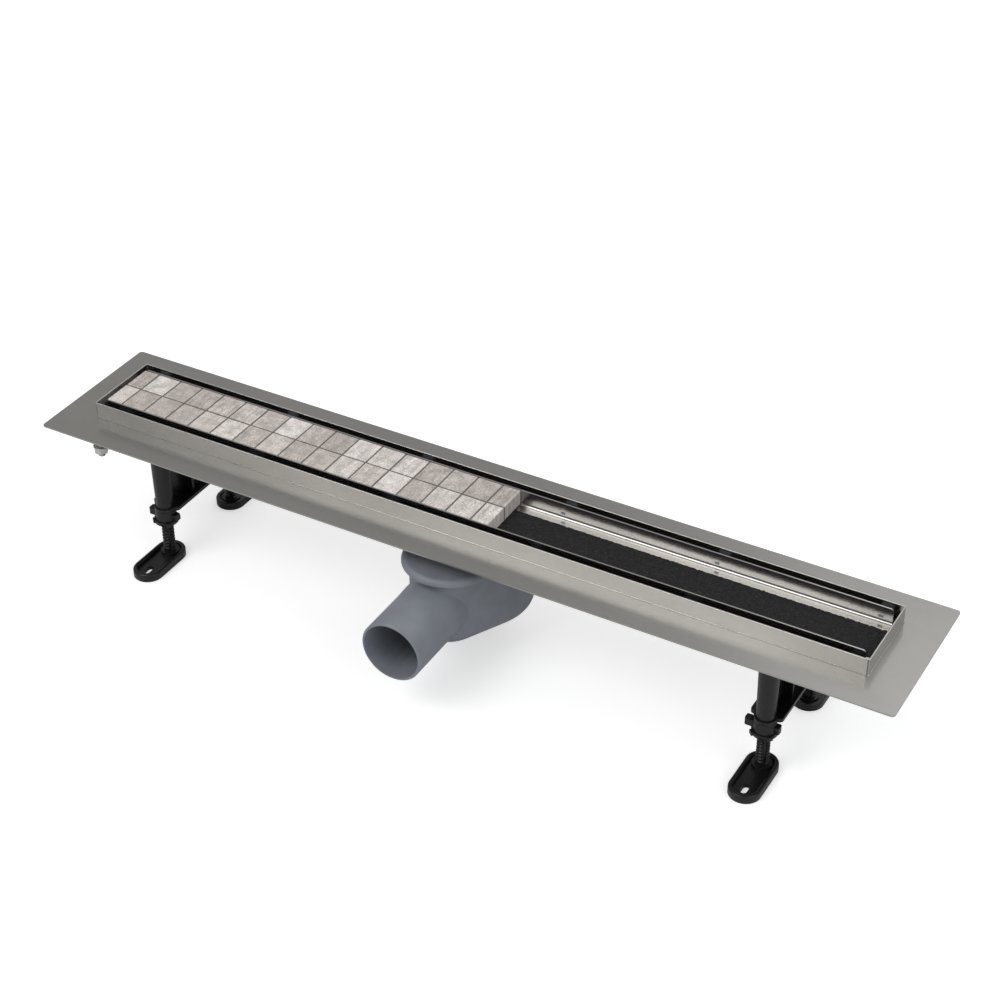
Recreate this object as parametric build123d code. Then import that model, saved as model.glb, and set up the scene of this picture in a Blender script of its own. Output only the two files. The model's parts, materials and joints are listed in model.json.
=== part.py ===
from build123d import *
import math
import os

# A linear shower drain on four levelling feet, in millimetres.
# The origin lies on the waste's axis at the level that the feet stand on, with +Z up.
# +X runs along the channel, and the outlet pipe leaves towards -Y.

# Height and channel
flange_top = 107.5
channel_length = 662.0
channel_width = 68.4
channel_sheet = 1.2
channel_corner = 1.8
rim_height = 14.0
rim_edge_radius = 0.4
floor_depth = 11.0
floor_fall = 1.5
crease_end_share = 0.09

# Flange plate
flange_margin = 30.8
flange_sheet = 1.2
flange_corner = 3.0

# Waste hole in the channel's floor
waste_radius = 26.3
waste_seat_width = 3.4
waste_seat_depth = 0.1

# Cover tray, which turns over: tile bed up, or plain face up
cover_end_gap = 4.8
cover_side_gap = 6.5
cover_height = 14.2
cover_sheet = 1.2
cover_bend_radius = 3.6
cover_end_radius = 2.5
coat_width = 33.0
coat_thickness = 1.0

# Tiles and their joints
tile_length = 20.1
tile_joint = 1.4
tile_side_gap = 0.4
tile_relief = 1.2
first_tile_length = 13.6
last_tile_length = 14.3
full_tile_columns = 15
grout_recess = 0.5

# Spring clips that carry the cover
clips_per_side = 6
clip_end_margin = 8.75
clip_width = 8.4
clip_drop = 7.0
clip_head = 1.1
clip_foot = 2.6
clip_shelf = 6.0
clip_shelf_thickness = 3.0
clip_wall_clearance = 0.35
clip_corner = 0.6
peg_width = 3.2
peg_height = 1.6
peg_drop = 8.4
peg_clearance = 0.2

# Bonding stud under the flange
bond_end_inset = 46.8
bond_side_inset = 14.0
bond_radius = 3.0
bond_length = 20.3
bond_head_radius = 4.2
bond_head_thickness = 0.8
bond_nut_width = 10.0
bond_nut_height = 5.0
bond_nut_drop = 10.8
bond_washer_radius = 6.2
bond_washer_thickness = 1.2
bond_washer_clearance = 0.2

# Leg brackets
leg_inset = 68.0
leg_wall_gap = 0.4
leg_flange_gap = 0.3
sleeve_top_radius = 8.0
sleeve_foot_radius = 7.1
sleeve_drop = 60.0
sleeve_bore_radius = 5.6
sleeve_lip_radius = 8.7
sleeve_lip_height = 2.4
sleeve_key_width = 1.8
sleeve_key_reach = 3.9
bracket_width = 26.0
bracket_plate = 3.0
beam_flange_width = 25.0
beam_flange = 3.0
beam_flange_corner = 3.0
beam_web = 3.0
beam_rib = 2.4
beam_rib_width = 18.0
beam_bay = 16.0
beam_core = 12.0
beam_end_gap = 4.0

# Studs and nuts that hold the brackets
bracket_stud_y = 26.0
bracket_stud_radius = 3.0
bracket_stud_length = 12.0
bracket_stud_head = 4.0
bracket_stud_head_thickness = 0.8
bracket_stud_clearance = 0.3
bracket_nut_width = 10.0
bracket_nut_height = 6.0
bracket_nut_flange_radius = 6.6
bracket_nut_flange = 1.2
nut_pocket = 17.0
nut_pocket_height = 13.0

# Spindles, foot pads and wing nuts
spindle_radius = 5.0
spindle_top_drop = 30.0
spindle_chamfer = 0.8
keyway_width = 2.4
keyway_depth = 1.6
key_angle = 45.0
pad_width = 24.8
pad_reach = 29.0
pad_floor = 3.4
pad_height = 6.6
pad_rim = 3.4
pad_rim_radius = 1.5
pad_socket_depth = 1.6
hub_radius = 7.6
hub_height = 2.8
slot_width = 5.0
slot_length = 10.0
nut_gap = 0.3
nut_bore_clearance = 0.3
nut_crown_radius = 8.6
nut_crown_height = 9.2
nut_wing_long = 15.0
nut_wing_short = 11.8
nut_wing_drop = 3.4
nut_wing_width = 6.0
nut_wing_height = 5.8
nut_wing_radius = 1.4
nut_collar_radius = 9.8
nut_collar_height = 3.2
nut_ear_reach = 1.2
nut_ear_width = 4.0
nut_cone_height = 2.4
nut_cone_radius = 8.4
nut_tip_radius = 6.8

# Trap: pot under the waste, cap over the weir, and outlet pipe
trap_gap = 0.3
trap_seal_thickness = 1.3
trap_seal_radius = 32.0
pot_radius = 46.8
pot_depth = 63.4
pot_wall = 2.2
pot_floor = 2.5
pot_foot_fillet = 8.4
nose_radius = 28.5
nose_offset = 39.8
cap_radius = 36.6
cap_offset = 35.5
cap_depth = 5.4
cap_edge_radius = 4.4
cap_foot_radius = 0.8
weir_drop = 34.0
outlet_radius = 25.0
outlet_wall = 2.0
outlet_drop = 49.8
outlet_reach = 121.0
outlet_lead_in = 1.0
outlet_spigot = 44.0
outlet_draft = 0.5
outlet_draft_length = 12.0
neck_radius = 29.6
neck_depth = 11.6
neck_relief_radius = 27.6
neck_relief_depth = 4.2
neck_ledge = 3.1
neck_ledge_thickness = 2.0

# Clamp ring with its strainer windows
ring_wall = 1.5
ring_lip_width = 2.9
ring_lip_thickness = 1.0
ring_hole_clearance = 0.4
ring_depth = 10.4
window_count = 12
window_height = 5.0
window_bar = 2.6
window_drop = 1.8

# Odour insert and its seal
insert_clearance = 0.2
insert_rim_height = 3.6
insert_rim_width = 3.7
insert_groove_width = 0.9
insert_groove_depth = 0.8
insert_seal_thickness = 1.6
insert_rib_count = 8
insert_rib_width = 1.6
insert_rib_height = 3.0
insert_hub_radius = 4.6
insert_knob_radius = 3.6
insert_knob_height = 2.6
dip_wall = 1.4
dip_clearance = 11.0

# Worked out from the sizes above
flange_length = channel_length + 2 * flange_margin
flange_width = channel_width + 2 * flange_margin
inner_length = channel_length - 2 * channel_sheet
inner_width = channel_width - 2 * channel_sheet
rim_top = flange_top + rim_height
floor_edge = flange_top - floor_depth
seat_top = floor_edge - floor_fall - waste_seat_depth
seat_under = seat_top - channel_sheet
seat_radius = waste_radius + waste_seat_width

cover_length = inner_length - 2 * cover_end_gap
cover_width = inner_width - 2 * cover_side_gap
cover_top = rim_top
cover_under = cover_top - cover_height
coat_under = cover_under + cover_sheet
coat_top = coat_under + coat_thickness
tile_half_bed = cover_width / 2 - cover_sheet - tile_side_gap
clip_pitch = (cover_length - 2 * clip_end_margin) / (clips_per_side - 1)

bond_x = -flange_length / 2 + bond_end_inset
bond_y = -flange_width / 2 + bond_side_inset

leg_x = channel_length / 2 - leg_inset
leg_y = channel_width / 2 + leg_wall_gap + sleeve_top_radius
sleeve_top = flange_top - flange_sheet - leg_flange_gap
sleeve_foot = flange_top - sleeve_drop
beam_length = 2 * (leg_y - beam_end_gap)

nut_top = sleeve_foot - nut_gap
trap_top = seat_under - trap_gap - trap_seal_thickness
weir_top = flange_top - weir_drop
ring_outer = waste_radius - ring_hole_clearance
ring_bore = ring_outer - ring_wall
ring_lip_under = seat_top + trap_gap
ring_foot = ring_lip_under - ring_depth
neck_foot = trap_top - neck_depth + neck_ledge_thickness
insert_seat = neck_foot + insert_seal_thickness
dip_radius = ring_bore - insert_clearance - insert_rim_width


def block(x0, x1, y0, y1, z0, z1):
    """A box between two corners."""
    size = (x1 - x0, y1 - y0, z1 - z0)
    return Pos((x0 + x1) / 2, (y0 + y1) / 2, (z0 + z1) / 2) * Box(*size)


def disc(radius, z0, z1, x=0.0, y=0.0):
    """An upright cylinder between two levels."""
    return Pos(x, y, (z0 + z1) / 2) * Cylinder(radius, z1 - z0)


def ring(outer, inner, z0, z1, x=0.0, y=0.0):
    """An upright ring between two levels."""
    return disc(outer, z0, z1, x, y) - disc(inner, z0, z1, x, y)


def taper(z0, radius0, z1, radius1, x=0.0, y=0.0):
    """An upright cone frustum, with its radius at each level."""
    return Pos(x, y, (z0 + z1) / 2) * Cone(radius0, radius1, z1 - z0)


def slab(outline, z0, z1):
    """A flat outline raised from one level to another."""
    return extrude(Pos(0, 0, z0) * outline, amount=z1 - z0)


def along_x(section, x0, x1):
    """A section, drawn with Y across and Z up, run from x0 to x1."""
    return Pos(x0, 0, 0) * extrude(Plane.YZ * section, amount=x1 - x0)


def outline(*points):
    """A face with straight sides through the points."""
    return make_face(Polyline(*points, close=True))


# Channel


def floor_under(x, y=0.0):
    """Level of the floor's underside, which falls in four planes to the waste."""
    share = max(abs(x) / (inner_length / 2), abs(y) / (inner_width / 2))
    return floor_edge - channel_sheet - floor_fall * (1 - share)


def floor_pyramid(top):
    """The shallow fall of the floor, creased from its corners towards the waste."""
    edge = Rectangle(inner_length, inner_width)
    centre = Rectangle(inner_length * crease_end_share, inner_width * crease_end_share)
    depth = floor_fall * (1 - crease_end_share)
    return loft([Pos(0, 0, top) * edge, Pos(0, 0, top - depth) * centre])


def channel_tray():
    """One folded sheet: rim, walls, creased floor and the sunk seat round the waste."""
    outside = RectangleRounded(channel_length, channel_width, channel_corner)
    inside = RectangleRounded(inner_length, inner_width, channel_corner - channel_sheet)
    under = floor_edge - channel_sheet
    body = slab(outside, under, rim_top) + floor_pyramid(under)
    body += disc(seat_radius + channel_sheet, seat_under, under)
    body -= slab(inside, floor_edge, rim_top + channel_sheet)
    body -= floor_pyramid(floor_edge)
    body -= disc(seat_radius, seat_top, floor_edge)
    body -= disc(waste_radius, seat_under - channel_sheet, floor_edge)
    return fillet(body.faces().sort_by(Axis.Z)[-1].edges(), rim_edge_radius)


def flange_plate():
    """The flat plate that the shower's sealing is bonded to, welded round the channel."""
    plate = RectangleRounded(flange_length, flange_width, flange_corner)
    opening = RectangleRounded(channel_length, channel_width, channel_corner)
    return slab(plate - opening, flange_top - flange_sheet, flange_top)


# Bonding point


def hexagon(width):
    """A hexagon, by its width across flats."""
    return RegularPolygon(width / 2, 6, major_radius=False)


def bonding_stud():
    """A threaded stud welded under the flange."""
    under = flange_top - flange_sheet
    stud = disc(bond_radius, under - bond_length, under, bond_x, bond_y)
    return stud + disc(bond_head_radius, under - bond_head_thickness, under, bond_x, bond_y)


def bonding_nut():
    top = flange_top - flange_sheet - bond_nut_drop - bond_washer_thickness
    nut = slab(hexagon(bond_nut_width), top - bond_nut_height, top)
    return Pos(bond_x, bond_y, 0) * nut - disc(bond_radius, top - bond_nut_height, top, bond_x, bond_y)


def bonding_washer():
    top = flange_top - flange_sheet - bond_nut_drop
    bore = bond_radius + bond_washer_clearance
    return ring(bond_washer_radius, bore, top - bond_washer_thickness, top, bond_x, bond_y)


# Cover


def cover_outline():
    """The tray's outer section, filled, with the bends at its lower corners."""
    section = Pos(0, (cover_under + cover_top) / 2) * Rectangle(cover_width, cover_height)
    return fillet(section.vertices().group_by(Axis.Y)[0], cover_bend_radius)


def cover_hollow():
    """The space between the tray's walls."""
    width = cover_width - 2 * cover_sheet
    low = Pos(0, (coat_under + cover_top) / 2 + cover_sheet)
    section = low * Rectangle(width, cover_top - coat_under + 2 * cover_sheet)
    return fillet(section.vertices().group_by(Axis.Y)[0], cover_bend_radius - cover_sheet)


def clip_places():
    """Where the clips stand along the cover."""
    first = -cover_length / 2 + clip_end_margin
    return [first + clip_pitch * i for i in range(clips_per_side)]


def cover_tray():
    """One folded sheet with open ends, and a small slot in its walls for each clip."""
    half = cover_length / 2
    tray = along_x(cover_outline() - cover_hollow(), -half, half)
    ends = tray.edges().filter_by(Axis.Y).filter_by_position(
        Axis.Z, cover_top - cover_sheet / 2, cover_top + cover_sheet / 2)
    tray = fillet(ends, cover_end_radius)
    side = cover_width / 2
    level = cover_top - peg_drop
    for x in clip_places():
        reach = peg_width / 2 + peg_clearance
        rise = peg_height / 2 + peg_clearance
        tray -= block(x - reach, x + reach, -side - 1, side + 1, level - rise, level + rise)
    return tray


def grit_coat():
    """The rough coat that the tile adhesive keys into."""
    half = cover_length / 2
    return block(-half, half, -coat_width / 2, coat_width / 2, coat_under, coat_top)


def tile_columns():
    """The start and end of each tile along the cover, the first and last being cut."""
    lengths = [first_tile_length] + [tile_length] * full_tile_columns + [last_tile_length]
    columns = []
    start = -cover_length / 2
    for length in lengths:
        columns.append((start, start + length))
        start += length + tile_joint
    return columns


def tile_row(side):
    """One row of tiles; side is -1 for the front row and +1 for the rear one."""
    near = side * tile_joint / 2
    far = side * tile_half_bed
    relief = side * tile_relief
    section = outline(
        (near, coat_top), (far - relief, coat_top), (far, coat_top + tile_relief),
        (far, cover_top), (near, cover_top))
    return [along_x(section, x0, x1) for x0, x1 in tile_columns()]


def tile_grout():
    """The joint compound: one bar between the rows and one between each two columns."""
    top = cover_top - grout_recess
    columns = tile_columns()
    grout = block(columns[0][0], columns[-1][1], -tile_joint / 2, tile_joint / 2, coat_top, top)
    section = outline(
        (-tile_half_bed + tile_relief, coat_top), (tile_half_bed - tile_relief, coat_top),
        (tile_half_bed, coat_top + tile_relief), (tile_half_bed, top),
        (-tile_half_bed, top), (-tile_half_bed, coat_top + tile_relief))
    for (_, end), (start, _) in zip(columns, columns[1:]):
        grout += along_x(section, end, start)
    return grout


def clip(x, side):
    """A spring clip: a shelf under the tray, a leaning leg and a peg in the tray's wall."""
    wall = cover_width / 2
    foot = inner_width / 2 - clip_wall_clearance
    top = cover_top - clip_drop
    shelf = cover_under - clip_shelf_thickness
    leg = outline(
        (wall - clip_shelf, cover_under), (wall - clip_head, top), (wall + clip_head, top),
        (foot, floor_edge), (foot - clip_foot, floor_edge),
        (wall + clip_head, shelf), (wall - clip_shelf, shelf))
    tips = leg.vertices().filter_by_position(Axis.X, wall + clip_head / 2, foot + clip_head)
    leg = fillet(tips, clip_corner) - cover_outline()
    shape = along_x(leg, -clip_width / 2, clip_width / 2)
    level = cover_top - peg_drop
    shape += block(-peg_width / 2, peg_width / 2, wall - cover_sheet, wall + clip_head / 2,
                   level - peg_height / 2, level + peg_height / 2)
    if side < 0:
        shape = mirror(shape, about=Plane.XZ)
    return Pos(x, 0, 0) * shape


# Leg brackets


def bracket_seat():
    """Level at which a bracket's top plate bears on the channel's underside."""
    return floor_under(leg_x - bracket_width / 2)


def sleeve(side):
    """One guide sleeve of a bracket, with its lip; the bore is cut later."""
    y = side * leg_y
    shape = taper(sleeve_foot, sleeve_foot_radius, sleeve_top, sleeve_top_radius, 0, y)
    return shape + disc(sleeve_lip_radius, sleeve_foot, sleeve_foot + sleeve_lip_height, 0, y)


def sleeve_bore(side):
    """The bore for a spindle, less the two keys that stop the spindle from turning."""
    low, high = sleeve_foot - 1, sleeve_top + 1
    bore = disc(sleeve_bore_radius, low, high)
    key = block(-sleeve_key_width / 2, sleeve_key_width / 2,
                sleeve_key_reach, sleeve_bore_radius + 1, low, high)
    for turn in (key_angle, key_angle + 180):
        bore -= Rot(0, 0, turn) * key
    return Pos(0, side * leg_y, 0) * bore


def support_bracket():
    """One moulding: two sleeves and the ribbed beam between them, at x = 0."""
    seat = bracket_seat()
    half = beam_length / 2
    wide = bracket_width / 2
    rib = beam_rib_width / 2
    beam = block(-wide, wide, -half, half, seat - bracket_plate, seat)
    flange = RectangleRounded(beam_flange_width, 2 * leg_y, beam_flange_corner)
    beam += slab(flange, sleeve_foot, sleeve_foot + beam_flange)
    beam += block(-beam_web / 2, beam_web / 2, -leg_y, leg_y, sleeve_foot, seat)
    beam += block(-beam_core / 2, beam_core / 2, -beam_bay, beam_bay, sleeve_foot, seat)
    for side in (-1, 1):
        y = side * beam_bay
        beam += block(-rib, rib, y - beam_rib / 2, y + beam_rib / 2, sleeve_foot, seat)
        beam += sleeve(side)
    for side in (-1, 1):
        y = side * bracket_stud_y
        low = seat - bracket_plate - nut_pocket_height
        beam -= block(-beam_web, beam_web, y - nut_pocket / 2, y + nut_pocket / 2,
                      low, seat - bracket_plate)
        hole = bracket_stud_radius + bracket_stud_clearance
        beam -= disc(hole, seat - bracket_plate, seat, 0, y)
        beam -= disc(bracket_stud_head + bracket_stud_clearance,
                     seat - bracket_stud_head_thickness, seat, 0, y)
        beam -= sleeve_bore(side)
    return beam


def bracket_places():
    """The four places where a bracket is bolted to the channel."""
    return [(x, y) for x in (-leg_x, leg_x) for y in (-bracket_stud_y, bracket_stud_y)]


def bracket_studs():
    """Studs welded under the channel, each with its small weld head."""
    seat = bracket_seat()
    studs = []
    for x, y in bracket_places():
        stud = disc(bracket_stud_radius, seat - bracket_stud_length, seat, x, y)
        stud += disc(bracket_stud_head, seat - bracket_stud_head_thickness, seat, x, y)
        studs.append(stud)
    return studs


def bracket_nuts():
    """Flanged nuts that clamp the brackets' top plates."""
    top = bracket_seat() - bracket_plate
    nuts = []
    for x, y in bracket_places():
        nut = slab(hexagon(bracket_nut_width), top - bracket_nut_height, top)
        nut += disc(bracket_nut_flange_radius, top - bracket_nut_flange, top)
        nut -= disc(bracket_stud_radius, top - bracket_nut_height, top)
        nuts.append(Pos(x, y, 0) * nut)
    return nuts


# Levelling feet


def spindle():
    """A threaded spindle with a keyway on two sides, on the axis x = y = 0."""
    top = flange_top - spindle_top_drop
    low = pad_floor - pad_socket_depth
    rod = disc(spindle_radius, low, top)
    rod = chamfer(rod.faces().sort_by(Axis.Z)[-1].edges(), spindle_chamfer)
    keyway = block(-keyway_width / 2, keyway_width / 2, spindle_radius - keyway_depth,
                   spindle_radius + 1, pad_floor + hub_height, top)
    for turn in (key_angle, key_angle + 180):
        rod -= Rot(0, 0, turn) * keyway
    return rod


def foot_pad():
    """A long pad reaching out towards +Y: round rim, hub for the spindle, screw slot."""
    centre = pad_reach / 2
    outer = Pos(0, centre) * SlotCenterToCenter(pad_reach, pad_width, rotation=90)
    inner = Pos(0, centre) * SlotCenterToCenter(pad_reach, pad_width - 2 * pad_rim, rotation=90)
    pad = slab(outer, 0, pad_height) - slab(inner, pad_floor, pad_height)
    pad = fillet(pad.faces().sort_by(Axis.Z)[-1].edges(), pad_rim_radius)
    pad += disc(hub_radius, pad_floor, pad_floor + hub_height)
    pad -= disc(spindle_radius, pad_floor - pad_socket_depth, pad_floor + hub_height)
    slot = Pos(0, pad_reach) * SlotOverall(slot_length, slot_width, rotation=90)
    return pad - slab(slot, 0, pad_floor)


def wing_nut():
    """The adjusting nut: crown with a long and a short wing, eared collar and cone."""
    crown_foot = nut_top - nut_crown_height
    collar_foot = crown_foot - nut_collar_height
    tip = collar_foot - nut_cone_height
    nut = disc(nut_crown_radius, crown_foot, nut_top)
    wing_top = nut_top - nut_wing_drop
    middle = (nut_wing_long - nut_wing_short) / 2
    wings = Pos(middle, 0) * Rectangle(nut_wing_long + nut_wing_short, nut_wing_width)
    wings = fillet(wings.vertices(), nut_wing_radius)
    nut += slab(wings, wing_top - nut_wing_height, wing_top)
    nut += disc(nut_collar_radius, collar_foot, crown_foot)
    reach = nut_collar_radius + nut_ear_reach
    ears = Rectangle(2 * reach, nut_ear_width) + Rectangle(nut_ear_width, 2 * reach)
    nut += slab(Rot(0, 0, 45) * ears, collar_foot, crown_foot)
    nut += taper(tip, nut_tip_radius, collar_foot, nut_cone_radius)
    return nut - disc(spindle_radius + nut_bore_clearance, tip, nut_top)


# Trap


def outlet_rod(radius, y0, y1):
    """A cylinder on the outlet pipe's axis, between two places along Y."""
    level = flange_top - outlet_drop
    return Pos(0, (y0 + y1) / 2, level) * Rot(90, 0, 0) * Cylinder(radius, y1 - y0)


def outlet_pipe():
    """The outside of the outlet pipe: a straight spigot that swells a little before the pot."""
    spigot_end = -outlet_reach + outlet_spigot
    full = spigot_end + outlet_draft_length
    radius = outlet_radius + outlet_draft
    swell = taper(0, outlet_radius, outlet_draft_length, radius)
    pipe = outlet_rod(outlet_radius, -outlet_reach, spigot_end)
    pipe += Pos(0, spigot_end, flange_top - outlet_drop) * Rot(-90, 0, 0) * swell
    return pipe + outlet_rod(radius, full, -nose_offset)


def pot_outside():
    """The pot: a drum under the waste with a nose over the outlet, rounded at its foot."""
    drum = Circle(pot_radius)
    nose = Pos(0, -nose_offset) * Circle(nose_radius)
    body = slab(make_hull((drum + nose).edges()), trap_top - pot_depth, trap_top)
    return fillet(body.edges().group_by(Axis.Z)[0], pot_foot_fillet)


def pot_inside():
    """The drum's hollow, which holds the water."""
    low = trap_top - pot_depth + pot_floor
    hollow = disc(pot_radius - pot_wall, low, trap_top - pot_wall)
    return fillet(hollow.edges().group_by(Axis.Z)[0], pot_foot_fillet - pot_wall)


def cap_outside():
    """The round cap over the weir, standing out past the nose on every side."""
    cap = disc(cap_radius, trap_top - cap_depth, trap_top, 0, -cap_offset)
    cap = fillet(cap.edges().group_by(Axis.Z)[-1], cap_edge_radius)
    return fillet(cap.edges().group_by(Axis.Z)[0], cap_foot_radius)


def weir_passage():
    """The way out of the pot: over the drum's wall at the weir, down the nose, out of the pipe."""
    outlet_level = flange_top - outlet_drop
    bore = outlet_radius - outlet_wall
    way = disc(nose_radius - pot_wall, outlet_level - bore, weir_top, 0, -nose_offset)
    way += outlet_rod(bore, -outlet_reach, -nose_offset)
    way -= disc(pot_radius, outlet_level - bore, outlet_level + bore)
    return way + disc(nose_radius - pot_wall, weir_top, trap_top - pot_wall, 0, -nose_offset)


def trap_body():
    """One moulding: pot, weir, cap, outlet pipe and the neck under the waste."""
    neck_low = trap_top - neck_depth
    body = pot_outside() + cap_outside() + outlet_pipe()
    body -= pot_inside()
    body -= weir_passage()
    body += disc(neck_radius, neck_low, trap_top)
    body -= disc(neck_relief_radius, trap_top - neck_relief_depth, trap_top)
    body -= disc(ring_outer, neck_foot, trap_top)
    body -= disc(ring_outer - neck_ledge, neck_low, neck_foot)
    mouth = Pos(0, -outlet_reach, flange_top - outlet_drop) * Rot(-90, 0, 0)
    body -= mouth * (disc(outlet_radius + 1, 0, outlet_lead_in) - lead_in_cone())
    return body


def lead_in_cone():
    """The outlet's bevelled end, along +Z from its mouth."""
    return taper(0, outlet_radius - outlet_lead_in, outlet_lead_in, outlet_radius)


def trap_seal():
    """The flat ring that seals the trap's neck to the channel's underside."""
    return ring(trap_seal_radius, neck_relief_radius, trap_top, trap_top + trap_seal_thickness)


def clamp_ring():
    """The ring that screws into the neck from above, with windows round its wall."""
    lip_top = ring_lip_under + ring_lip_thickness
    shape = ring(ring_outer, ring_bore, ring_foot, lip_top)
    shape += ring(ring_outer + ring_lip_width, ring_bore, ring_lip_under, lip_top)
    top = ring_lip_under - window_drop
    width = 2 * math.pi * ring_outer / window_count - window_bar
    window = block(ring_bore - 1, ring_outer + 1, -width / 2, width / 2, top - window_height, top)
    for i in range(window_count):
        shape -= Rot(0, 0, 360 * i / window_count) * window
    return shape


def odour_insert():
    """The lift-out insert: rim, ribs, knob and the tube that dips into the water."""
    rim_outer = ring_bore - insert_clearance
    rim_top_level = insert_seat + insert_rim_height
    shape = ring(rim_outer, dip_radius - dip_wall, insert_seat, rim_top_level)
    groove = rim_outer - insert_rim_width / 2
    shape -= ring(groove + insert_groove_width / 2, groove - insert_groove_width / 2,
                  rim_top_level - insert_groove_depth, rim_top_level)
    foot = trap_top - pot_depth + pot_floor + dip_clearance
    shape += ring(dip_radius, dip_radius - dip_wall, foot, insert_seat)
    shape += disc(insert_hub_radius, rim_top_level - insert_rib_height, rim_top_level)
    shape += disc(insert_knob_radius, rim_top_level, rim_top_level + insert_knob_height)
    rib = block(0, dip_radius - dip_wall / 2, -insert_rib_width / 2, insert_rib_width / 2,
                rim_top_level - insert_rib_height, rim_top_level - insert_groove_depth)
    for i in range(insert_rib_count):
        shape += Rot(0, 0, 360 * i / insert_rib_count) * rib
    return shape


def insert_seal():
    """The flat seal under the insert's rim."""
    return ring(ring_outer - insert_clearance, dip_radius, neck_foot, insert_seat)


# Nodes

nodes = {
    "channel_tray": channel_tray(),
    "flange_plate": flange_plate(),
    "bonding_stud": bonding_stud(),
    "bonding_nut": bonding_nut(),
    "bonding_washer": bonding_washer(),
    "bracket_studs": Compound(children=bracket_studs()),
    "bracket_nuts": Compound(children=bracket_nuts()),
    "cover_tray": cover_tray(),
    "grit_coat": grit_coat(),
    "tiles_front_row": Compound(children=tile_row(-1)),
    "tiles_rear_row": Compound(children=tile_row(1)),
    "tile_grout": tile_grout(),
    "trap_body": trap_body(),
    "trap_seal": trap_seal(),
    "clamp_ring": clamp_ring(),
    "odour_insert": odour_insert(),
    "insert_seal": insert_seal(),
}

for number, place in enumerate(clip_places(), start=1):
    nodes[f"clip_front_{number}"] = clip(place, -1)
    nodes[f"clip_rear_{number}"] = clip(place, 1)

for x_side, x_name in ((-1, "left"), (1, "right")):
    nodes[f"support_bracket_{x_name}"] = Pos(x_side * leg_x, 0, 0) * support_bracket()
    for y_side, y_name in ((-1, "front"), (1, "rear")):
        turn = Pos(x_side * leg_x, y_side * leg_y, 0) * Rot(0, 0, 0 if y_side > 0 else 180)
        nodes[f"spindle_{y_name}_{x_name}"] = turn * spindle()
        nodes[f"foot_pad_{y_name}_{x_name}"] = turn * foot_pad()
        nodes[f"wing_nut_{y_name}_{x_name}"] = turn * wing_nut()

os.makedirs("parts", exist_ok=True)
for name, shape in nodes.items():
    export_step(shape, f"parts/{name}.step")
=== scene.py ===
"""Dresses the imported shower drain: finishes, threads, tiles and grit, with light and camera."""

import json
import logging
import math
import random
from collections.abc import Callable, Iterable, Sequence
from dataclasses import dataclass, field
from enum import Enum

import bmesh
import bpy
from mathutils import Matrix, Vector, noise

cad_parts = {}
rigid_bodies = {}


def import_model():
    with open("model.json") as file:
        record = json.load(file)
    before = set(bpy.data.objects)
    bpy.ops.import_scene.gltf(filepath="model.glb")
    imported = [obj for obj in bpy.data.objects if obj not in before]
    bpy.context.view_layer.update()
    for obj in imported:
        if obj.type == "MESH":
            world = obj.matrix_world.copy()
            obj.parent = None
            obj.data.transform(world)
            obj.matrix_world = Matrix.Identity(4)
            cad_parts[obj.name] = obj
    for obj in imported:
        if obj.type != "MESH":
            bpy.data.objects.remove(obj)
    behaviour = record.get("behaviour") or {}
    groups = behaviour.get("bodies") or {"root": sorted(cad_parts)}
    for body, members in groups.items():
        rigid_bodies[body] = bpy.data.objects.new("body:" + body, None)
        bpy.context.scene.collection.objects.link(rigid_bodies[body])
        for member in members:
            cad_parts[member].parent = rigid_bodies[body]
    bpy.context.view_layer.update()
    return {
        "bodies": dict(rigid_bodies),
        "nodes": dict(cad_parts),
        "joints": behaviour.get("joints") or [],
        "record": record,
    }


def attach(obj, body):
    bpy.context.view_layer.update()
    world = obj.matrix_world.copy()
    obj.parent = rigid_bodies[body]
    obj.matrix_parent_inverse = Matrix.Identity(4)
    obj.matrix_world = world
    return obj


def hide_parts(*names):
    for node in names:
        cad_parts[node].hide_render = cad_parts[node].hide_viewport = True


Colour = tuple[float, float, float]
Point = tuple[float, float, float]

# Lengths are in metres, in the row frame.
MM = 0.001
FLANGE_TOP = 107.5 * MM
RIM_TOP = FLANGE_TOP + 14 * MM
BED_TOP = RIM_TOP - 12 * MM
SHEET = 1.2 * MM
STUD_ROOT = FLANGE_TOP - 12.56 * MM
COVER_LENGTH = 650 * MM
LEG_X = 263 * MM

# Vertices and levels nearer than these count as one, as do angles alike to this many decimals.
JOIN_DISTANCE = 0.002 * MM
LEVEL_ERROR = 0.0001 * MM
ANGLE_DECIMALS = 6

# Edges between faces that meet at more than this many degrees are softened.
SHARP_ANGLE = 32.0

# Nearly all of a noise texture's values lie between these two.
NOISE_LOW = 0.3
NOISE_HIGH = 0.7

# The colour sockets of a Mix node, whose names it gives to other sockets too.
MIX_SHARE = 0
MIX_BELOW = 6
MIX_ABOVE = 7
MIX_RESULT = 2

WHITE: Colour = (1.0, 1.0, 1.0)
TONE_LAYER = "tile_tone"
LOG = logging.getLogger("drain")


class Side(Enum):
    """The two long sides of the drain."""

    FRONT = -1
    REAR = 1


class End(Enum):
    """The two ends of the drain."""

    LEFT = -1
    RIGHT = 1


def foot_name(side: Side, end: End) -> str:
    """The last words of the names of one foot's nodes."""
    return f"{side.name.lower()}_{end.name.lower()}"


# Shading


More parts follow.
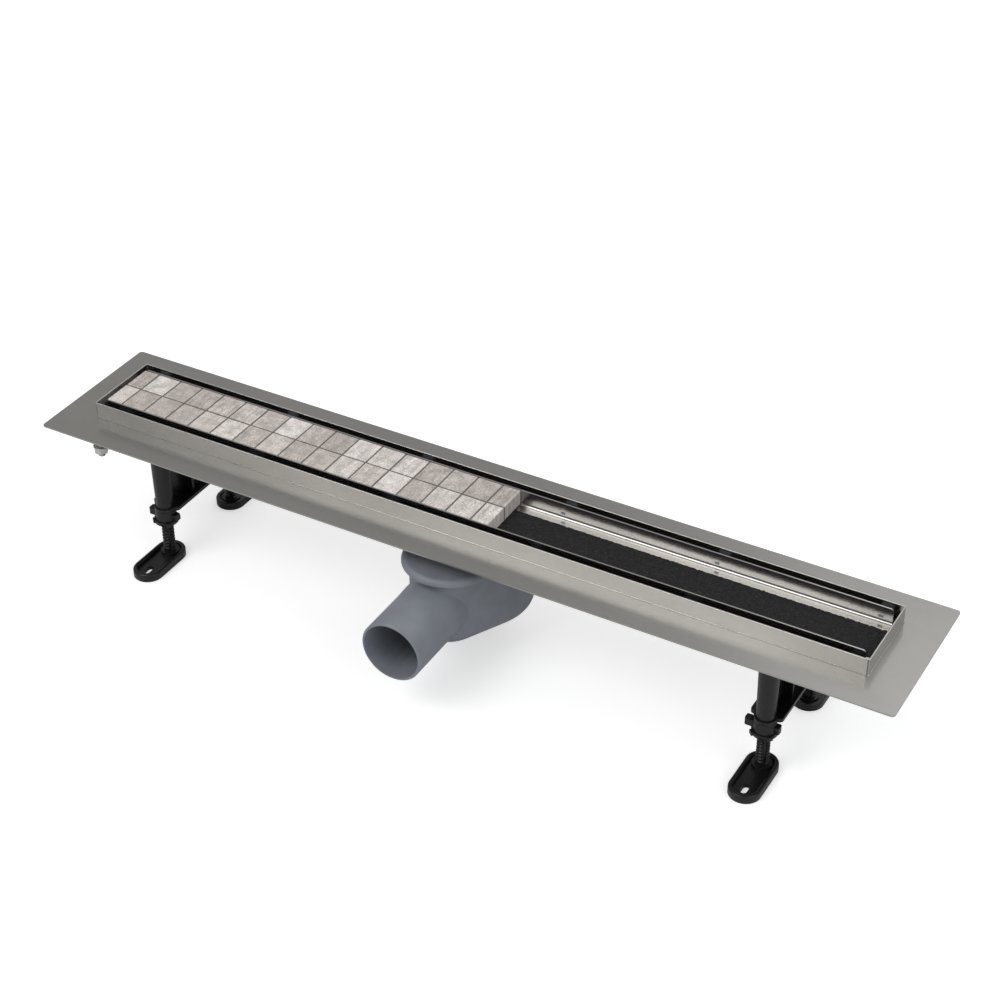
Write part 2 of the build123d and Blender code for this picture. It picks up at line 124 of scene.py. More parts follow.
class Shading:
    """A material's nodes, with short calls for what the finishes share."""

    def __init__(self, name: str) -> None:
        """Starts a material.

        Args:
            name: The material's name.
        """
        self.material = bpy.data.materials.new(name)
        self.material.use_nodes = True
        self.tree = self.material.node_tree
        self.surface = self.tree.nodes["Principled BSDF"]

    def node(self, kind: str) -> bpy.types.Node:
        """Adds a node of one kind, by its type name."""
        return self.tree.nodes.new(kind)

    def link(self, output: bpy.types.NodeSocket, target: bpy.types.NodeSocket) -> None:
        """Joins an output to an input."""
        self.tree.links.new(output, target)

    def place(self, scale: Point = (1.0, 1.0, 1.0)) -> bpy.types.NodeSocket:
        """The point on the object, in metres.

        Args:
            scale: How much each axis is multiplied by.

        Returns:
            The vector output.
        """
        coords = self.node("ShaderNodeTexCoord")
        mapping = self.node("ShaderNodeMapping")
        mapping.inputs["Scale"].default_value = scale
        self.link(coords.outputs["Object"], mapping.inputs["Vector"])
        return mapping.outputs["Vector"]

    def noise(self, place: bpy.types.NodeSocket, scale: float,
              detail: float) -> bpy.types.NodeSocket:
        """A cloudy value from 0 to 1.

        Args:
            place: The vector that it is read at.
            scale: How many clouds there are to a metre.
            detail: How many finer layers it has.

        Returns:
            The value output.
        """
        cloud = self.node("ShaderNodeTexNoise")
        cloud.inputs["Scale"].default_value = scale
        cloud.inputs["Detail"].default_value = detail
        self.link(place, cloud.inputs["Vector"])
        return cloud.outputs["Fac"]

    def cells(self, place: bpy.types.NodeSocket, scale: float) -> bpy.types.NodeSocket:
        """The distance to the nearest of many scattered grains.

        Args:
            place: The vector that it is read at.
            scale: How many grains there are to a metre.

        Returns:
            The distance output.
        """
        grains = self.node("ShaderNodeTexVoronoi")
        grains.inputs["Scale"].default_value = scale
        self.link(place, grains.inputs["Vector"])
        return grains.outputs["Distance"]

    def spread(self, value: bpy.types.NodeSocket, low: float, high: float,
               start: float = NOISE_LOW, stop: float = NOISE_HIGH) -> bpy.types.NodeSocket:
        """A value stretched to another range.

        Args:
            value: The value output.
            low: What start becomes.
            high: What stop becomes.
            start: The lower end of the value's range.
            stop: The upper end of the value's range.

        Returns:
            The stretched value.
        """
        span = self.node("ShaderNodeMapRange")
        span.inputs["From Min"].default_value = start
        span.inputs["From Max"].default_value = stop
        span.inputs["To Min"].default_value = low
        span.inputs["To Max"].default_value = high
        self.link(value, span.inputs["Value"])
        return span.outputs["Result"]

    def tones(self, value: bpy.types.NodeSocket,
              stops: Sequence[tuple[float, Colour]]) -> bpy.types.NodeSocket:
        """Colours along a value.

        Args:
            value: The value output.
            stops: Each place from 0 to 1, with its colour.

        Returns:
            The colour output.
        """
        ramp = self.node("ShaderNodeValToRGB")
        elements = ramp.color_ramp.elements
        for _ in range(len(stops) - len(elements)):
            elements.new(0.5)
        for element, (position, colour) in zip(elements, stops):
            element.position = position
            element.color = (*colour, 1.0)
        self.link(value, ramp.inputs["Fac"])
        return ramp.outputs["Color"]

    def layered(self, first: bpy.types.NodeSocket,
                *layers: bpy.types.NodeSocket) -> bpy.types.NodeSocket:
        """A colour darkened or lightened by others, one after another.

        Args:
            first: The colour output at the bottom.
            layers: The colours that it is multiplied by.

        Returns:
            The colour output.
        """
        for layer in layers:
            first = self.blend(1.0, first, layer, "MULTIPLY")
        return first

    def blend(self, share: bpy.types.NodeSocket | float, first: bpy.types.NodeSocket,
              second: bpy.types.NodeSocket, way: str = "MIX") -> bpy.types.NodeSocket:
        """Two colours laid over each other.

        Args:
            share: How much of the second one there is, or the output that says it.
            first: The lower colour output.
            second: The upper colour output.
            way: Blender's name for how they mix.

        Returns:
            The mixed colour.
        """
        mixer = self.node("ShaderNodeMix")
        mixer.data_type = "RGBA"
        mixer.blend_type = way
        if isinstance(share, float):
            mixer.inputs[MIX_SHARE].default_value = share
        else:
            self.link(share, mixer.inputs[MIX_SHARE])
        self.link(first, mixer.inputs[MIX_BELOW])
        self.link(second, mixer.inputs[MIX_ABOVE])
        return mixer.outputs[MIX_RESULT]

    def bump(self, height: bpy.types.NodeSocket, distance: float, strength: float) -> None:
        """Raises the surface by a value, without changing the mesh.

        Args:
            height: The value output.
            distance: The height that a value of 1 stands for, in metres.
            strength: How much of it is used.
        """
        relief = self.node("ShaderNodeBump")
        relief.inputs["Distance"].default_value = distance
        relief.inputs["Strength"].default_value = strength
        self.link(height, relief.inputs["Height"])
        self.link(relief.outputs["Normal"], self.surface.inputs["Normal"])

    def set(self, **values: float) -> None:
        """Sets the shader's own sockets, with _ for each space in a socket's name."""
        for name, value in values.items():
            self.surface.inputs[name.replace("_", " ")].default_value = value

    def paint(self, colour: bpy.types.NodeSocket) -> None:
        """Takes the base colour from an output."""
        self.link(colour, self.surface.inputs["Base Color"])

    def gloss(self, roughness: bpy.types.NodeSocket) -> None:
        """Takes the roughness from an output."""
        self.link(roughness, self.surface.inputs["Roughness"])


def shade(colour: Colour, factor: float) -> Colour:
    """A colour made lighter or darker."""
    return (colour[0] * factor, colour[1] * factor, colour[2] * factor)


@dataclass(frozen=True)
class RolledSteel:
    """Cold-rolled stainless sheet, with faint lines along the rolling direction."""

    name: str
    colour: Colour
    smooth: float
    rough: float
    contrast: float

    def material(self) -> bpy.types.Material:
        """Makes the material.

        Returns:
            The material.
        """
        steel = Shading(self.name)
        lines = steel.noise(steel.place((1.0, 40.0, 40.0)), scale=60.0, detail=5.0)
        clouds = steel.noise(steel.place((0.6, 1.5, 1.5)), scale=22.0, detail=3.0)
        fine = steel.noise(steel.place(), scale=2600.0, detail=2.0)
        tone = steel.tones(clouds, [(NOISE_LOW, shade(self.colour, 1 - self.contrast)),
                                    (NOISE_HIGH, shade(self.colour, 1 + self.contrast))])
        streaks = steel.tones(lines, [(NOISE_LOW, shade(WHITE, 0.95)), (NOISE_HIGH, WHITE)])
        steel.paint(steel.layered(tone, streaks))
        steel.gloss(steel.spread(lines, self.smooth, self.rough))
        steel.bump(fine, distance=0.002 * MM, strength=0.25)
        steel.set(Metallic=1.0)
        return steel.material


@dataclass(frozen=True)
class TurnedSteel:
    """Bright machined steel on small fasteners."""

    name: str
    colour: Colour

    def material(self) -> bpy.types.Material:
        """Makes the material.

        Returns:
            The material.
        """
        steel = Shading(self.name)
        rings = steel.noise(steel.place((1.0, 1.0, 6.0)), scale=900.0, detail=3.0)
        steel.paint(steel.tones(rings, [(NOISE_LOW, shade(self.colour, 0.85)),
                                        (NOISE_HIGH, self.colour)]))
        steel.gloss(steel.spread(rings, low=0.22, high=0.38))
        steel.bump(rings, distance=0.01 * MM, strength=0.5)
        steel.set(Metallic=1.0)
        return steel.material


@dataclass(frozen=True)
class MouldedPlastic:
    """Injection-moulded plastic, with the fine grain of its mould."""

    name: str
    colour: Colour
    smooth: float
    rough: float
    grain: float = 0.02 * MM
    shine: float = 0.45

    def material(self) -> bpy.types.Material:
        """Makes the material.

        Returns:
            The material.
        """
        plastic = Shading(self.name)
        cloud = plastic.noise(plastic.place(), scale=45.0, detail=4.0)
        fine = plastic.noise(plastic.place(), scale=1500.0, detail=3.0)
        plastic.paint(plastic.tones(cloud, [(NOISE_LOW, shade(self.colour, 0.9)),
                                            (NOISE_HIGH, shade(self.colour, 1.08))]))
        plastic.gloss(plastic.spread(fine, self.smooth, self.rough))
        plastic.bump(fine, distance=self.grain, strength=0.6)
        plastic.set(Specular_IOR_Level=self.shine)
        return plastic.material


@dataclass(frozen=True)
class MouldedRubber:
    """Matt black rubber with a little bloom on it."""

    name: str
    colour: Colour

    def material(self) -> bpy.types.Material:
        """Makes the material.

        Returns:
            The material.
        """
        rubber = Shading(self.name)
        bloom = rubber.noise(rubber.place(), scale=240.0, detail=5.0)
        rubber.paint(rubber.tones(bloom, [(0.35, self.colour),
                                          (0.75, shade(self.colour, 1.9))]))
        rubber.gloss(rubber.spread(bloom, low=0.62, high=0.85))
        rubber.bump(bloom, distance=0.03 * MM, strength=0.5)
        rubber.set(Specular_IOR_Level=0.3)
        return rubber.material


@dataclass(frozen=True)
class GritResin:
    """Black grit bound in resin, dull between its grains."""

    name: str
    colour: Colour

    def material(self) -> bpy.types.Material:
        """Makes the material.

        Returns:
            The material.
        """
        grit = Shading(self.name)
        grains = grit.cells(grit.place(), scale=900.0)
        cloud = grit.noise(grit.place(), scale=500.0, detail=4.0)
        grit.paint(grit.tones(cloud, [(0.35, self.colour), (0.62, shade(self.colour, 1.8)),
                                      (0.74, shade(self.colour, 4.5))]))
        grit.gloss(grit.spread(grains, low=0.45, high=0.85, start=0.1, stop=0.7))
        grit.bump(grains, distance=0.25 * MM, strength=0.9)
        grit.set(Specular_IOR_Level=0.35)
        return grit.material


@dataclass(frozen=True)
class CementGrout:
    """Dark joint compound between the tiles."""

    name: str
    colour: Colour

    def material(self) -> bpy.types.Material:
        """Makes the material.

        Returns:
            The material.
        """
        grout = Shading(self.name)
        sand = grout.noise(grout.place(), scale=1400.0, detail=5.0)
        grout.paint(grout.tones(sand, [(NOISE_LOW, shade(self.colour, 0.7)),
                                       (NOISE_HIGH, shade(self.colour, 1.35))]))
        grout.bump(sand, distance=0.08 * MM, strength=0.8)
        grout.set(Roughness=0.92, Specular_IOR_Level=0.2)
        return grout.material


@dataclass(frozen=True)
class StoneTile:
    """Matt stone: each tile has its own tone, with pale grains and a few bands across it."""

    name: str
    pale: Colour
    mid: Colour
    dark: Colour
    squeeze: float = 0.05

    def material(self) -> bpy.types.Material:
        """Makes the material.

        Heights are squeezed where the grains are read, so that the sawn sides show upright stripes.

        Returns:
            The material.
        """
        stone = Shading(self.name)
        own = stone.node("ShaderNodeAttribute")
        own.attribute_name = TONE_LAYER
        parts = stone.node("ShaderNodeSeparateColor")
        stone.link(own.outputs["Color"], parts.inputs["Color"])
        sawn = stone.place((1.0, 1.0, self.squeeze))
        bands = stone.noise(stone.place((2.2, 0.3, self.squeeze)), scale=150.0, detail=5.0)
        cloud = stone.noise(sawn, scale=130.0, detail=5.0)
        grains = stone.noise(sawn, scale=1250.0, detail=3.0)
        pits = stone.noise(sawn, scale=620.0, detail=2.0)
        body = stone.tones(parts.outputs["Red"],
                           [(0.0, self.dark), (0.55, self.mid), (1.0, self.pale)])
        banded = stone.tones(bands, [(0.32, (0.72, 0.71, 0.70)), (0.55, WHITE),
                                     (0.72, (1.12, 1.11, 1.10))])
        clouded = stone.tones(cloud, [(0.33, (0.82, 0.81, 0.80)), (0.66, shade(WHITE, 1.12))])
        grained = stone.tones(grains, [(0.28, (0.66, 0.64, 0.62)), (0.5, WHITE),
                                       (0.68, (1.30, 1.31, 1.32))])
        pitted = stone.tones(pits, [(0.24, (0.70, 0.67, 0.64)), (0.4, WHITE)])
        marked = stone.blend(parts.outputs["Green"], body, stone.layered(body, banded))
        stone.paint(stone.layered(marked, clouded, grained, pitted))
        stone.gloss(stone.spread(cloud, low=0.6, high=0.8))
        stone.bump(grains, distance=0.05 * MM, strength=0.7)
        stone.set(Specular_IOR_Level=0.35)
        return stone.material


@dataclass(frozen=True)
class Palette:
    """Every finish on the drain."""

    channel: RolledSteel = RolledSteel("channel_steel", (0.52, 0.512, 0.492),
                                       smooth=0.20, rough=0.27, contrast=0.05)
    flange: RolledSteel = RolledSteel("flange_steel", (0.405, 0.394, 0.375),
                                      smooth=0.27, rough=0.34, contrast=0.03)
    cover: RolledSteel = RolledSteel("cover_steel", (0.46, 0.447, 0.43),
                                     smooth=0.19, rough=0.25, contrast=0.05)
    fastener: TurnedSteel = TurnedSteel("fastener_steel", (0.62, 0.62, 0.60))
    trap: MouldedPlastic = MouldedPlastic("trap_grey", (0.205, 0.220, 0.250),
                                          smooth=0.36, rough=0.5)
    clip: MouldedPlastic = MouldedPlastic("clip_grey", (0.235, 0.268, 0.318),
                                          smooth=0.4, rough=0.55)
    leg: MouldedPlastic = MouldedPlastic("leg_black", (0.0065, 0.0065, 0.0065),
                                         smooth=0.24, rough=0.38, shine=0.4)
    rubber: MouldedRubber = MouldedRubber("seal_black", (0.02, 0.02, 0.02))
    grit: GritResin = GritResin("grit_black", (0.008, 0.008, 0.0085))
    grout: CementGrout = CementGrout("grout_dark", (0.15, 0.14, 0.13))
    tile: StoneTile = StoneTile("tile_stone", pale=(0.77, 0.725, 0.695),
                                mid=(0.64, 0.59, 0.555), dark=(0.50, 0.455, 0.42))


# Meshes


def new_piece(name: str, mesh: bpy.types.Mesh,
              material: bpy.types.Material) -> bpy.types.Object:
    """Puts a mesh in the scene.

    Args:
        name: The piece's name.
        mesh: Its mesh, in the row frame.
        material: Its finish.

    Returns:
        The new object.
    """
    piece = bpy.data.objects.new(name, mesh)
    bpy.context.scene.collection.objects.link(piece)
    mesh.materials.append(material)
    return piece


def mesh_from(name: str, form: bmesh.types.BMesh) -> bpy.types.Mesh:
    """Turns an edit mesh into a mesh, with its normals outwards.

    Args:
        name: The mesh's name.
        form: The edit mesh, which is freed.

    Returns:
        The mesh.
    """
    bmesh.ops.recalc_face_normals(form, faces=form.faces)
    mesh = bpy.data.meshes.new(name)
    form.to_mesh(mesh)
    form.free()
    return mesh


def lathe_grid(form: bmesh.types.BMesh, angles: Sequence[float], levels: Sequence[float],
               radius: Callable[[float, float], float], x: float, y: float) -> None:
    """Adds an upright closed rod whose radius varies round and along it.

    Args:
        form: The edit mesh that it is added to.
        angles: The angles round the rod, in radians.
        levels: The levels along it, in metres.
        radius: Gives the radius at an angle and a level.
        x: Where its axis stands along X.
        y: Where its axis stands along Y.
    """
    rows = []
    for level in levels:
        row = []
        for angle in angles:
            reach = radius(angle, level)
            place = (x + reach * math.cos(angle), y + reach * math.sin(angle), level)
            row.append(form.verts.new(place))
        rows.append(row)
    count = len(angles)
    for lower, upper in zip(rows, rows[1:]):
        for i in range(count):
            j = (i + 1) % count
            form.faces.new((lower[i], lower[j], upper[j], upper[i]))
    form.faces.new(list(reversed(rows[0])))
    form.faces.new(rows[-1])


@dataclass(frozen=True)
class Thread:
    """A screw thread with flat crests and roots, cut into a round rod."""

    depth: float
    pitch: float
    crest_share: float = 0.3
    flank_share: float = 0.22
    steps: int = 8

    def cut(self, angle: float, level: float) -> float:
        """How deep the thread is at a point.

        Args:
            angle: The angle round the rod, in radians.
            level: The level along it, in metres.

        Returns:
            The depth below the crest, in metres.
        """
        phase = (level / self.pitch - angle / (2 * math.pi)) % 1.0
        if phase < self.crest_share:
            return 0.0
        phase -= self.crest_share
        if phase < self.flank_share:
            return self.depth * phase / self.flank_share
        root = 1.0 - self.crest_share - 2 * self.flank_share
        if phase < self.flank_share + root:
            return self.depth
        return self.depth * (1.0 - (phase - self.flank_share - root) / self.flank_share)

    def levels(self, low: float, top: float) -> list[float]:
        """Levels from low to top, close enough together to show the thread."""
        count = max(2, math.ceil((top - low) / self.pitch * self.steps))
        return [low + (top - low) * i / count for i in range(count + 1)]


def dress(frame: dict, nodes: Iterable[str], material: bpy.types.Material) -> None:
    """Gives CAD nodes a finish.

    Args:
        nodes: The nodes' names.
        material: The finish.
    """
    for name in nodes:
        for slot in frame["nodes"][name].material_slots:
            slot.material = material
        LOG.info("%s dressed in %s", name, material.name)


def soften(frame: dict, nodes: Iterable[str], width: float) -> None:
    """Rounds the sharp edges of CAD nodes by a modifier, as the real edges are.

    Args:
        nodes: The nodes' names.
        width: How wide the rounded edge is, in metres.
    """
    for name in nodes:
        piece = frame["nodes"][name]
        weld = piece.modifiers.new("join", "WELD")
        weld.merge_threshold = JOIN_DISTANCE
        edge = piece.modifiers.new("edge", "BEVEL")
        edge.width = width
        edge.segments = 2
        edge.limit_method = "ANGLE"
        edge.angle_limit = math.radians(SHARP_ANGLE)
        edge.harden_normals = True
        edge.use_clamp_overlap = True


# Sub-assemblies


@dataclass
class Channel:
    """The folded channel with the flange plate that is welded round it."""

    length: float = 662 * MM
    width: float = 68.4 * MM
    corner: float = 1.8 * MM
    corner_steps: int = 4
    bead: float = 0.5 * MM

    def dress(self, frame: dict, palette: Palette) -> None:
        """Gives the sheets their finishes."""
        dress(frame, ["channel_tray"], palette.channel.material())
        dress(frame, ["flange_plate"], palette.flange.material())

    def weld_line(self) -> list[Point]:
        """Points round the channel's outer wall, at the level of the flange's face.

        Returns:
            The points, in metres.
        """
        points = []
        for cx, cy, start in ((1, -1, -90), (1, 1, 0), (-1, 1, 90), (-1, -1, 180)):
            x = cx * (self.length / 2 - self.corner)
            y = cy * (self.width / 2 - self.corner)
            for i in range(self.corner_steps + 1):
                angle = math.radians(start + 90 * i / self.corner_steps)
                points.append((x + self.corner * math.cos(angle),
                               y + self.corner * math.sin(angle), FLANGE_TOP))
        return points

    def build(self, material: bpy.types.Material) -> bpy.types.Object:
        """Lays the thin laser weld between the wall and the flange.

        Args:
            material: The weld's finish.

        Returns:
            The weld.
        """
        line = bpy.data.curves.new("channel_weld", "CURVE")
        line.dimensions = "3D"
        line.bevel_depth = self.bead
        line.bevel_resolution = 2
        run = line.splines.new("POLY")
        points = self.weld_line()
        run.points.add(len(points) - 1)
        for target, point in zip(run.points, points):
            target.co = (*point, 1.0)
        run.use_cyclic_u = True
        line.materials.append(material)
        weld = bpy.data.objects.new("channel_weld", line)
        bpy.context.scene.collection.objects.link(weld)
        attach(weld, "drain")
        return weld


@dataclass
class TileField:
    """The two rows of stone tiles on the cover."""

    start: float = -COVER_LENGTH / 2
    first: float = 13.6 * MM
    full: float = 20.1 * MM
    last: float = 14.3 * MM
    joint: float = 1.4 * MM
    columns: int = 15
    half_bed: float = 24.9 * MM
    under: float = BED_TOP
    top: float = RIM_TOP
    relief: float = 1.2 * MM
    edge: float = 0.35 * MM
    edge_spread: float = 0.3
    unevenness: float = 0.25 * MM
    chance: random.Random = field(default_factory=lambda: random.Random(7))

    def spans(self) -> list[tuple[float, float]]:
        """Where each tile starts and ends along the cover.

        Returns:
            Each tile's two ends, in metres.
        """
        lengths = [self.first] + [self.full] * self.columns + [self.last]
        spans = []
        x = self.start
        for length in lengths:
            spans.append((x, x + length))
            x += length + self.joint
        return spans

    def tile(self, x0: float, x1: float, side: Side) -> bmesh.types.BMesh:
        """One tile with softened edges and a face that isn't quite level.

        Args:
            x0: Its left end.
            x1: Its right end.
            side: Which row it lies in.

        Returns:
            The tile as an edit mesh.
        """
        near = side.value * self.joint / 2
        far = side.value * self.half_bed
        inset = side.value * self.relief
        drop = self.chance.uniform(0.0, self.unevenness)
        outline = [(near, self.under), (far - inset, self.under), (far, self.under + self.relief),
                   (far, self.top - drop), (near, self.top - drop)]
        form = bmesh.new()
        ends = [[form.verts.new((x, y, z)) for y, z in outline] for x in (x0, x1)]
        count = len(outline)
        for i in range(count):
            j = (i + 1) % count
            form.faces.new((ends[0][i], ends[0][j], ends[1][j], ends[1][i]))
        form.faces.new(list(reversed(ends[0])))
        form.faces.new(ends[1])
        bmesh.ops.recalc_face_normals(form, faces=form.faces)
        softness = self.chance.uniform(1 - self.edge_spread, 1 + self.edge_spread)
        bmesh.ops.bevel(form, geom=form.edges[:], offset=self.edge * softness,
                        segments=2, profile=0.5, affect="EDGES", clamp_overlap=True)
        return form

    def build(self, side: Side, node: str, material: bpy.types.Material) -> bpy.types.Object:
        """Lays one row.

        Args:
            side: Which row it is.
            node: The CAD node that it stands for.
            material: The tiles' finish.

        Returns:
            The row.
        """
        row = bmesh.new()
        tone = row.loops.layers.float_color.new(TONE_LAYER)
        for x0, x1 in self.spans():
            form = self.tile(x0, x1, side)
            # Red gives the tile its own tone, and green says how strongly it is banded.
            own = (self.chance.random(), self.chance.random(), 0.0, 1.0)
            places = [row.verts.new(vert.co) for vert in form.verts]
            form.verts.index_update()
            for face in form.faces:
                made = row.faces.new([places[vert.index] for vert in face.verts])
                for loop in made.loops:
                    loop[tone] = own
            form.free()
        piece = new_piece(f"stone_{node}", mesh_from(node, row), material)
        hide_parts(node)
        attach(piece, "drain")
        return piece


@dataclass
class GritBed:
    """The rough black coat on the cover's bed.

    Its height is coarse and fine noise together, each read at its own scale and layer, and its long
    edges waver. Up to open_from the tiles hide it, so it is one plain strip there.
    """

    length: float = COVER_LENGTH
    width: float = 33 * MM
    under: float = BED_TOP - 1 * MM
    top: float = BED_TOP
    open_from: float = 24 * MM
    step: float = 0.62 * MM
    usual_share: float = 0.75
    least_share: float = 0.12
    coarse_share: float = 0.55
    coarse_scale: float = 700.0
    coarse_layer: float = 1.5
    fine_share: float = 0.4
    fine_scale: float = 1900.0
    fine_layer: float = 7.5
    edge_inset: float = 0.4 * MM
    edge_raggedness: float = 0.5 * MM
    edge_scale: float = 400.0
    covered_drop: float = 0.05 * MM

    def grain(self, x: float, y: float) -> float:
        """How high the coat stands at a point.

        Args:
            x: Where it is along the cover.
            y: Where it is across the cover.

        Returns:
            The level, in metres.
        """
        coarse = noise.noise(Vector((x * self.coarse_scale, y * self.coarse_scale,
                                     self.coarse_layer)))
        fine = noise.noise(Vector((x * self.fine_scale, y * self.fine_scale, self.fine_layer)))
        share = self.usual_share + self.coarse_share * coarse + self.fine_share * fine
        return self.under + (self.top - self.under) * min(1.0, max(self.least_share, share))

    def build(self, material: bpy.types.Material) -> bpy.types.Object:
        """Spreads the coat.

        Args:
            material: The coat's finish.

        Returns:
            The coat.
        """
        half = self.length / 2
        across = max(2, round(self.width / self.step))
        along = round((half - self.open_from) / self.step)
        open_length = half - self.open_from
        xs = [-half] + [self.open_from + open_length * i / along for i in range(along + 1)]
        form = bmesh.new()
        rows = []
        for i, x in enumerate(xs):
            row = []
            for j in range(across + 1):
                y = self.width * (j / across - 0.5)
                if j in (0, across):
                    y -= math.copysign(self.edge_inset, y)
                    waver = noise.noise(Vector((x * self.edge_scale, 0.0, float(j))))
                    y += self.edge_raggedness * waver
                level = self.grain(x, y) if i > 0 else self.top - self.covered_drop
                row.append(form.verts.new((x, y, level)))
            rows.append(row)
        for lower, upper in zip(rows, rows[1:]):
            for j in range(across):
                form.faces.new((lower[j], upper[j], upper[j + 1], lower[j + 1]))
        rim = [row[0] for row in rows] + rows[-1][1:-1]
        rim += [row[-1] for row in reversed(rows)] + rows[0][-2:0:-1]
        skirt = [form.verts.new((vert.co.x, vert.co.y, self.under)) for vert in rim]
        for i in range(len(rim)):
            j = (i + 1) % len(rim)
            form.faces.new((rim[i], rim[j], skirt[j], skirt[i]))
        piece = new_piece("grit_bed", mesh_from("grit_bed", form), material)
        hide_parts("grit_coat")
        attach(piece, "drain")
        return piece


@dataclass
class Cover:
    """The cover tray with its clips, tiles, joints and grit."""

    clips: int = 6
    clip_edge: float = 0.35 * MM
    tiles: TileField = field(default_factory=TileField)
    grit: GritBed = field(default_factory=GritBed)

    def clip_nodes(self) -> list[str]:
        """The names of the clips."""
        return [f"clip_{side.name.lower()}_{i}" for side in Side for i in range(1, self.clips + 1)]

    def dress(self, frame: dict, palette: Palette) -> None:
        """Gives the tray, the clips and the joints their finishes.

        Args:
            palette: The finishes.
        """
        dress(frame, ["cover_tray"], palette.cover.material())
        dress(frame, ["tile_grout"], palette.grout.material())
        dress(frame, self.clip_nodes(), palette.clip.material())
        soften(frame, self.clip_nodes(), self.clip_edge)

    def build(self, palette: Palette) -> list[bpy.types.Object]:
        """Lays the tiles and the grit.

        Args:
            palette: The finishes.

        Returns:
            The two rows and the grit.
        """
        stone = palette.tile.material()
        return [self.tiles.build(Side.FRONT, "tiles_front_row", stone),
                self.tiles.build(Side.REAR, "tiles_rear_row", stone),
                self.grit.build(palette.grit.material())]


@dataclass
class Spindle:
    """A plastic spindle with a coarse thread and a keyway on two sides."""

    radius: float = 5 * MM
    low: float = 1.8 * MM
    thread_low: float = 6.8 * MM
    top: float = FLANGE_TOP - 30 * MM
    chamfer: float = 0.8 * MM
    keyway_width: float = 2.4 * MM
    keyway_depth: float = 1.6 * MM
    keyways: tuple[float, float] = (3 * math.pi / 4, 7 * math.pi / 4)
    run_in: float = 0.1 * MM
    leg_x: float = LEG_X
    leg_y: float = 42.6 * MM
    facets: int = 40
    edge_turn: float = 0.002
    thread: Thread = Thread(depth=1.1 * MM, pitch=3 * MM)

    def angles(self) -> list[float]:
        """Angles round the rod, with an edge at each side of a keyway.

        Returns:
            The angles, in radians.
        """
        half = math.asin(self.keyway_width / 2 / self.radius)
        marks = [2 * math.pi * i / self.facets for i in range(self.facets)]
        marks += [centre + (edge + turn) for centre in self.keyways for edge in (-half, half)
                  for turn in (-self.edge_turn, self.edge_turn)]
        return sorted({round(mark, ANGLE_DECIMALS) for mark in marks})

    def reach(self, angle: float, level: float) -> float:
        """The rod's radius at a point.

        Args:
            angle: The angle round the rod, in radians.
            level: The level along it, in metres.

        Returns:
            The radius, in metres.
        """
        radius = self.radius
        if level > self.thread_low:
            radius -= self.thread.cut(angle, level)
        radius = min(radius, self.radius - self.chamfer + (self.top - level))
        off = angle - self.keyways[0]
        in_keyway = abs(math.sin(off)) * self.radius < self.keyway_width / 2
        if in_keyway and level > self.thread_low:
            radius = min(radius, (self.radius - self.keyway_depth) / abs(math.cos(off)))
        return radius

    def build(self, side: Side, end: End, material: bpy.types.Material) -> bpy.types.Object:
        """Makes one spindle.

        Args:
            side: The side that its foot stands on.
            end: The end that its foot stands at.
            material: Its finish.

        Returns:
            The spindle.
        """
        foot = foot_name(side, end)
        form = bmesh.new()
        levels = [self.low, self.thread_low - self.run_in]
        levels += self.thread.levels(self.thread_low, self.top)
        lathe_grid(form, self.angles(), levels, self.reach,
                   end.value * self.leg_x, side.value * self.leg_y)
        mesh = mesh_from(f"spindle_{foot}", form)
        piece = new_piece(f"threaded_spindle_{foot}", mesh, material)
        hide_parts(f"spindle_{foot}")
        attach(piece, f"foot_{foot}")
        return piece


@dataclass
class Legs:
    """The two brackets with their four levelling feet."""

    edge: float = 0.45 * MM
    spindle: Spindle = field(default_factory=Spindle)

    def places(self) -> list[tuple[Side, End]]:
        """Each foot's side and end."""
        return [(side, end) for end in End for side in Side]

    def dress(self, frame: dict, material: bpy.types.Material) -> None:
        """Gives all black pieces their finish, and softens the mouldings' edges.

        Args:
            material: The finish.
        """
        feet = [foot_name(side, end) for side, end in self.places()]
        mouldings = [f"support_bracket_{end.name.lower()}" for end in End]
        mouldings += [f"{stem}_{foot}" for foot in feet for stem in ("foot_pad", "wing_nut")]
        dress(frame, mouldings + [f"spindle_{foot}" for foot in feet], material)
        soften(frame, mouldings, self.edge)

    def build(self, material: bpy.types.Material) -> list[bpy.types.Object]:
        """Makes the threaded spindles."""
        return [self.spindle.build(side, end, material) for side, end in self.places()]


